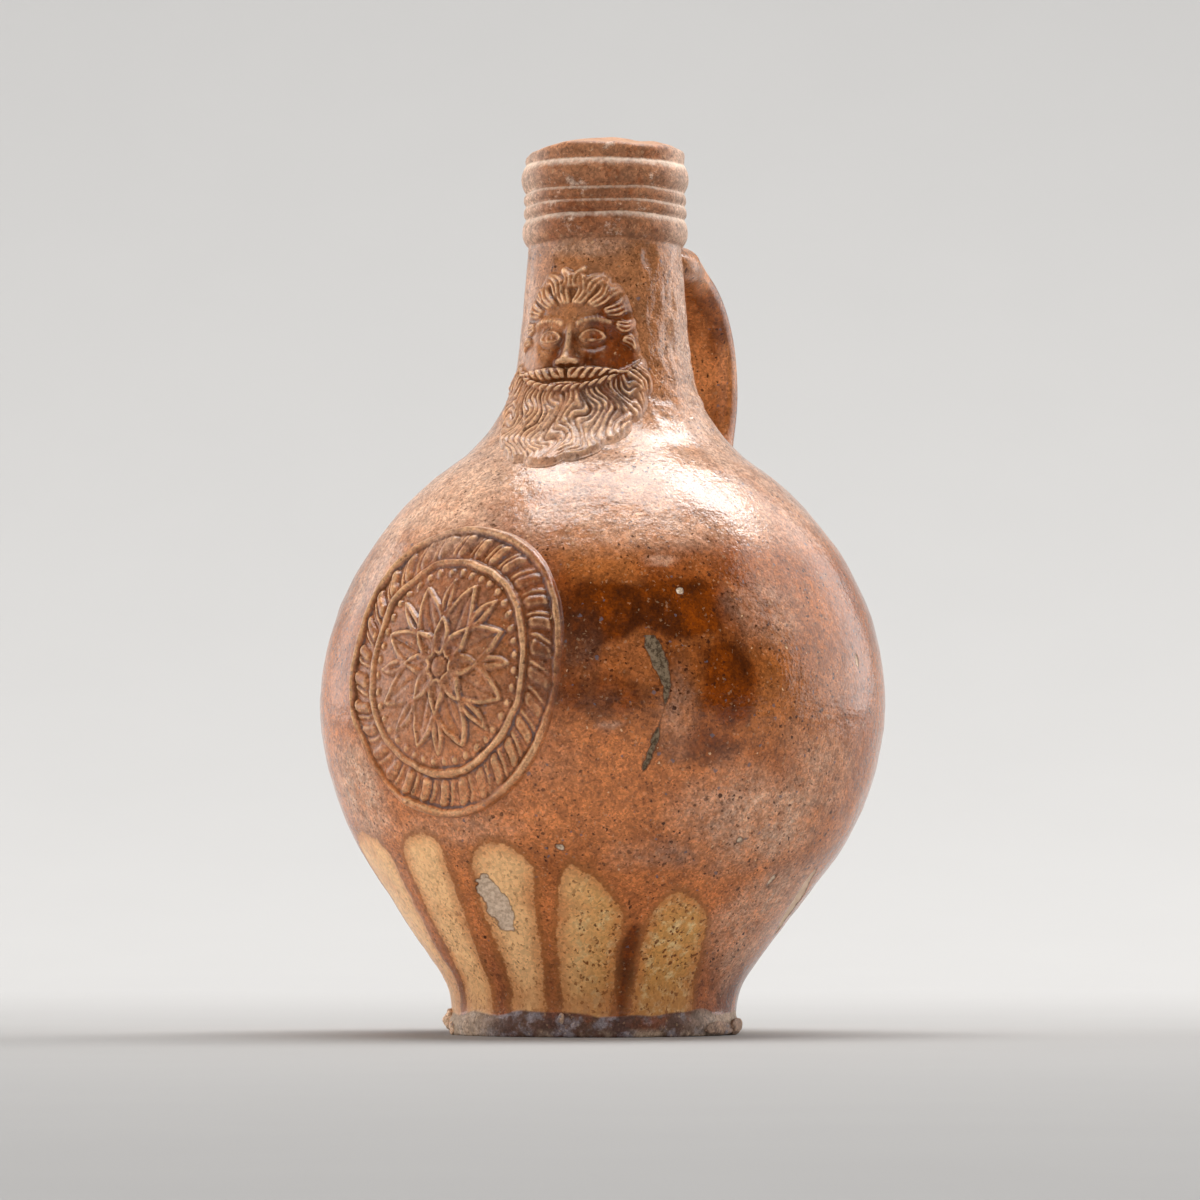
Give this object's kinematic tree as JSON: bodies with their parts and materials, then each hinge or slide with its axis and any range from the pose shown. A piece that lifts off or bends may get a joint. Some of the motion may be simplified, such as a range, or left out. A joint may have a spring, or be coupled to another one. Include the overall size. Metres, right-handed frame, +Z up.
{
  "type": "bartmann jug",
  "caption": "Round-bellied salt-glazed stoneware jug with a corded collar, a loop handle, a bearded mask on the neck and an oval rosette medallion; holds and pours liquid.",
  "frame": {"origin": "centre of the foot, on the face the jug rests on", "axes": "+Z up along the jug's axis, -Y to the front with the mask and medallion, +Y to the handle"},
  "size_m": [0.1386, 0.1409, 0.22],
  "materials": {
    "body_glaze": "mottled brown salt glaze with paler bare patches",
    "handle_glaze": "dark brown salt glaze",
    "mask_glaze": "thin brown salt glaze, pale on the high edges",
    "medallion_glaze": "thin brown salt glaze, pale on the high edges"
  },
  "bodies": {
    "root": {"jug_body": "body_glaze", "handle": "handle_glaze", "face_mask": "mask_glaze", "medallion": "medallion_glaze"}
  },
  "joints": []
}
